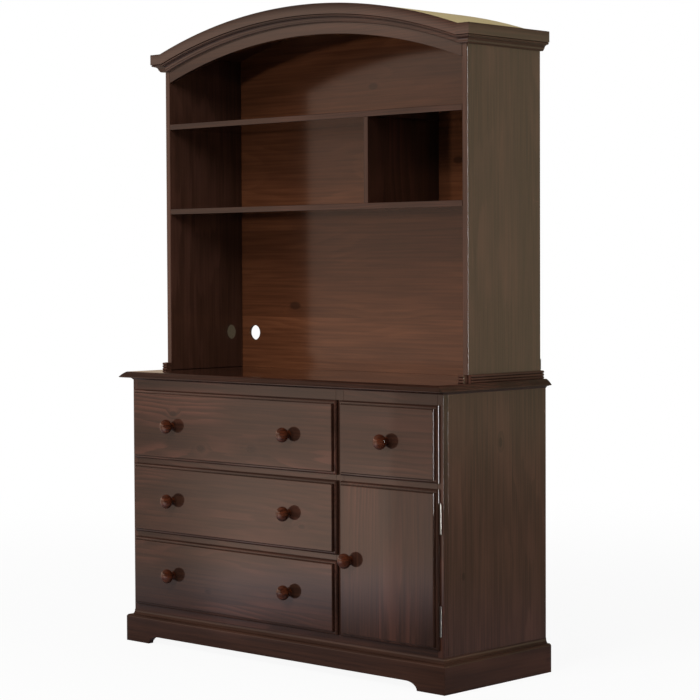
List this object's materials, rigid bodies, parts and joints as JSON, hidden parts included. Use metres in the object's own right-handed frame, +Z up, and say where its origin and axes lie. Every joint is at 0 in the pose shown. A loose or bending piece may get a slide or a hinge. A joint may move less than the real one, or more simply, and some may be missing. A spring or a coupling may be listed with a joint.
{
  "type": "dresser with hutch",
  "caption": "Dark stained dresser with overlay drawers, a small drawer over a cupboard door, and an open shelved hutch under an arched crown.",
  "frame": {"origin": "on the floor, at the middle of the whole piece's footprint", "axes": "+X to the right seen from the front, +Y to the back, +Z up"},
  "size_m": [1.394, 0.5362, 2.0385],
  "materials": {
    "stained_pine": "dark espresso stain under satin lacquer, grain and knots showing",
    "back_pine": "redder, thinner stain with a level grain",
    "knob_wood": "turned, red-brown, glossier than the fronts",
    "drawer_box_wood": "unstained, matt sealed",
    "back_hardboard": "plain brown board",
    "raw_plywood": "bare plywood",
    "hinge_steel": "nickel-plated, fine brushing",
    "runner_steel": "cream epoxy coat",
    "catch_plastic": "brown moulded housing"
  },
  "bodies": {
    "carcase": {"case_back": "back_hardboard", "case_bottom": "stained_pine", "case_partition": "stained_pine", "case_runners": "runner_steel", "case_side_left": "stained_pine", "case_side_right": "stained_pine", "crown_front": "stained_pine", "crown_side_left": "stained_pine", "crown_side_right": "stained_pine", "cupboard_ceiling": "drawer_box_wood", "cupboard_shelf": "stained_pine", "door_catch": "catch_plastic", "dresser_top": "stained_pine", "face_bottom_rail": "stained_pine", "face_mid_rails": "stained_pine", "face_stile_centre": "stained_pine", "face_stile_left": "stained_pine", "face_stile_right": "stained_pine", "face_top_rails": "stained_pine", "hinge_frame_leaves": "hinge_steel", "hutch_arch_rail": "stained_pine", "hutch_back": "back_pine", "hutch_divider": "stained_pine", "hutch_foot_mouldings": "stained_pine", "hutch_join_plates": "hinge_steel", "hutch_roof": "raw_plywood", "hutch_shelf_lower": "stained_pine", "hutch_shelf_upper": "stained_pine", "hutch_side_left": "stained_pine", "hutch_side_right": "stained_pine", "plinth_corner_blocks": "drawer_box_wood", "plinth_front": "stained_pine", "plinth_side_left": "stained_pine", "plinth_side_right": "stained_pine", "shelf_pins": "hinge_steel", "top_cove_strips": "stained_pine"},
    "drawer_1": {"drawer_1_bottom": "drawer_box_wood", "drawer_1_box": "drawer_box_wood", "drawer_1_front": "stained_pine", "drawer_1_knobs": "knob_wood", "drawer_1_runners": "runner_steel"},
    "drawer_2": {"drawer_2_bottom": "drawer_box_wood", "drawer_2_box": "drawer_box_wood", "drawer_2_front": "stained_pine", "drawer_2_knobs": "knob_wood", "drawer_2_runners": "runner_steel"},
    "drawer_3": {"drawer_3_bottom": "drawer_box_wood", "drawer_3_box": "drawer_box_wood", "drawer_3_front": "stained_pine", "drawer_3_knobs": "knob_wood", "drawer_3_runners": "runner_steel"},
    "small_drawer": {"small_drawer_bottom": "drawer_box_wood", "small_drawer_box": "drawer_box_wood", "small_drawer_front": "stained_pine", "small_drawer_knobs": "knob_wood", "small_drawer_runners": "runner_steel"},
    "door": {"door_panel": "stained_pine", "door_knob": "knob_wood", "door_strike_plate": "hinge_steel", "hinge_door_leaves": "hinge_steel"}
  },
  "joints": [
    {"name": "drawer_1_slide", "type": "slide", "parent": "carcase", "child": "drawer_1", "axis": [0, -1, 0], "range_m": [0, 0.3]},
    {"name": "drawer_2_slide", "type": "slide", "parent": "carcase", "child": "drawer_2", "axis": [0, -1, 0], "range_m": [0, 0.3]},
    {"name": "drawer_3_slide", "type": "slide", "parent": "carcase", "child": "drawer_3", "axis": [0, -1, 0], "range_m": [0, 0.3]},
    {"name": "small_drawer_slide", "type": "slide", "parent": "carcase", "child": "small_drawer", "axis": [0, -1, 0], "range_m": [0, 0.3]},
    {"name": "door_hinge", "type": "hinge", "parent": "carcase", "child": "door", "pos_m": [0.666, -0.2104, 0.35625], "axis": [0, 0, 1], "range_deg": [0, 115]}
  ]
}
